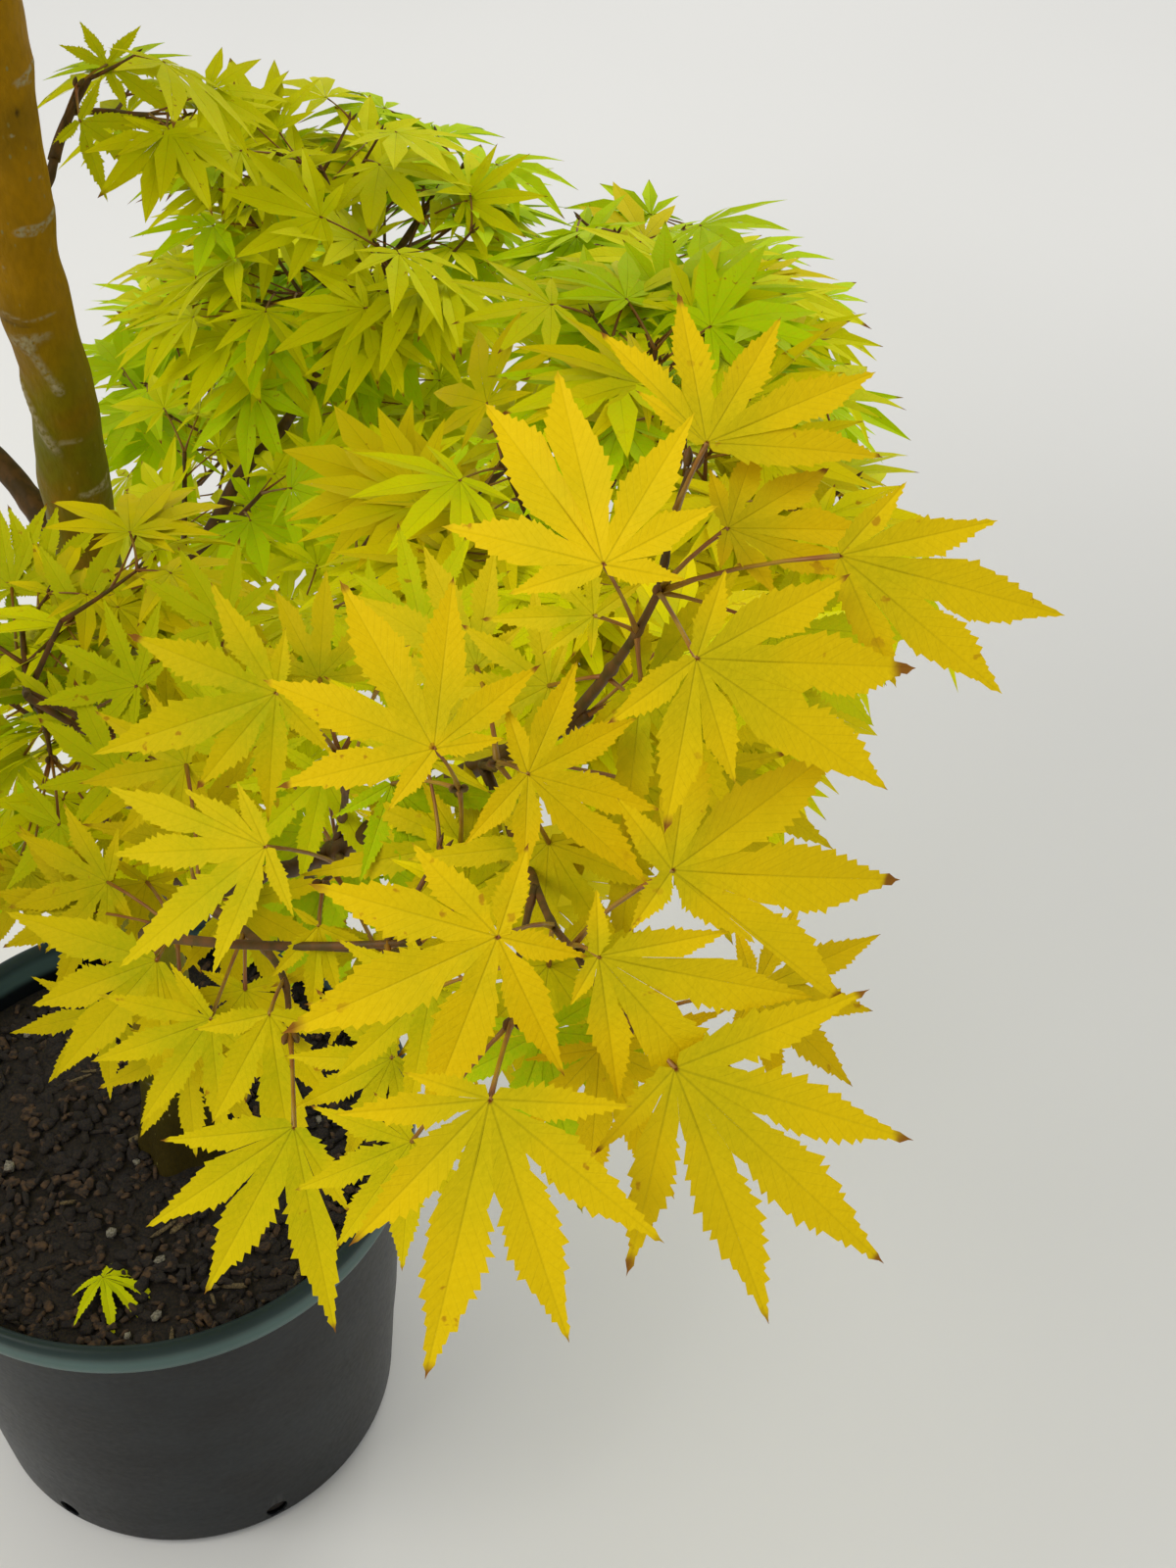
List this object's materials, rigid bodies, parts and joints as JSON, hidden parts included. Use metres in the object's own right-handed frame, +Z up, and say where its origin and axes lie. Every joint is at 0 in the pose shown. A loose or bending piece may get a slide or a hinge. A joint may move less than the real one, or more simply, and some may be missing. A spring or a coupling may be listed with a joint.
{
  "type": "potted japanese maple",
  "caption": "Young garden maple with yellow autumn leaves in layered sprays on spreading boughs, standing in a round black nursery pot filled with bark potting mix.",
  "frame": {"origin": "middle of the pot's flat underside, on the ground", "axes": "+Z up the trunk; -Y towards the side the picture was taken from; +X to the right in that view"},
  "size_m": [1.2267, 1.2404, 1.7258],
  "materials": {
    "pot_plastic": "satin black blow-moulded plastic",
    "potting_mix": "rough, dark composted bark",
    "bark": "smooth olive young bark, satin",
    "foliage": "soft matt yellow leaves"
  },
  "bodies": {
    "root": {"pot": "pot_plastic", "potting_mix": "potting_mix", "trunk": "bark", "front_bough": "bark", "front_upper_bough": "bark", "front_side_bough": "bark", "front_left_bough": "bark", "inner_front_bough": "bark", "right_front_bough": "bark", "right_bough": "bark", "back_right_bough": "bark", "low_back_bough": "bark", "back_left_bough": "bark", "left_bough": "bark", "spur_bough": "bark", "mid_right_bough": "bark", "mid_back_bough": "bark", "leader_bough": "bark", "upper_right_bough": "bark", "upper_back_bough": "bark", "upper_left_bough": "bark", "upper_front_left_bough": "bark", "upper_front_right_bough": "bark", "front_foliage": "foliage", "front_side_foliage": "foliage", "front_left_foliage": "foliage", "inner_front_foliage": "foliage", "right_front_foliage": "foliage", "right_foliage": "foliage", "back_right_foliage": "foliage", "low_back_foliage": "foliage", "back_left_foliage": "foliage", "left_foliage": "foliage", "spur_foliage": "foliage", "mid_right_foliage": "foliage", "mid_back_foliage": "foliage", "top_foliage": "foliage", "upper_right_foliage": "foliage", "upper_back_foliage": "foliage", "upper_left_foliage": "foliage", "upper_front_left_foliage": "foliage", "upper_front_right_foliage": "foliage"}
  },
  "joints": []
}
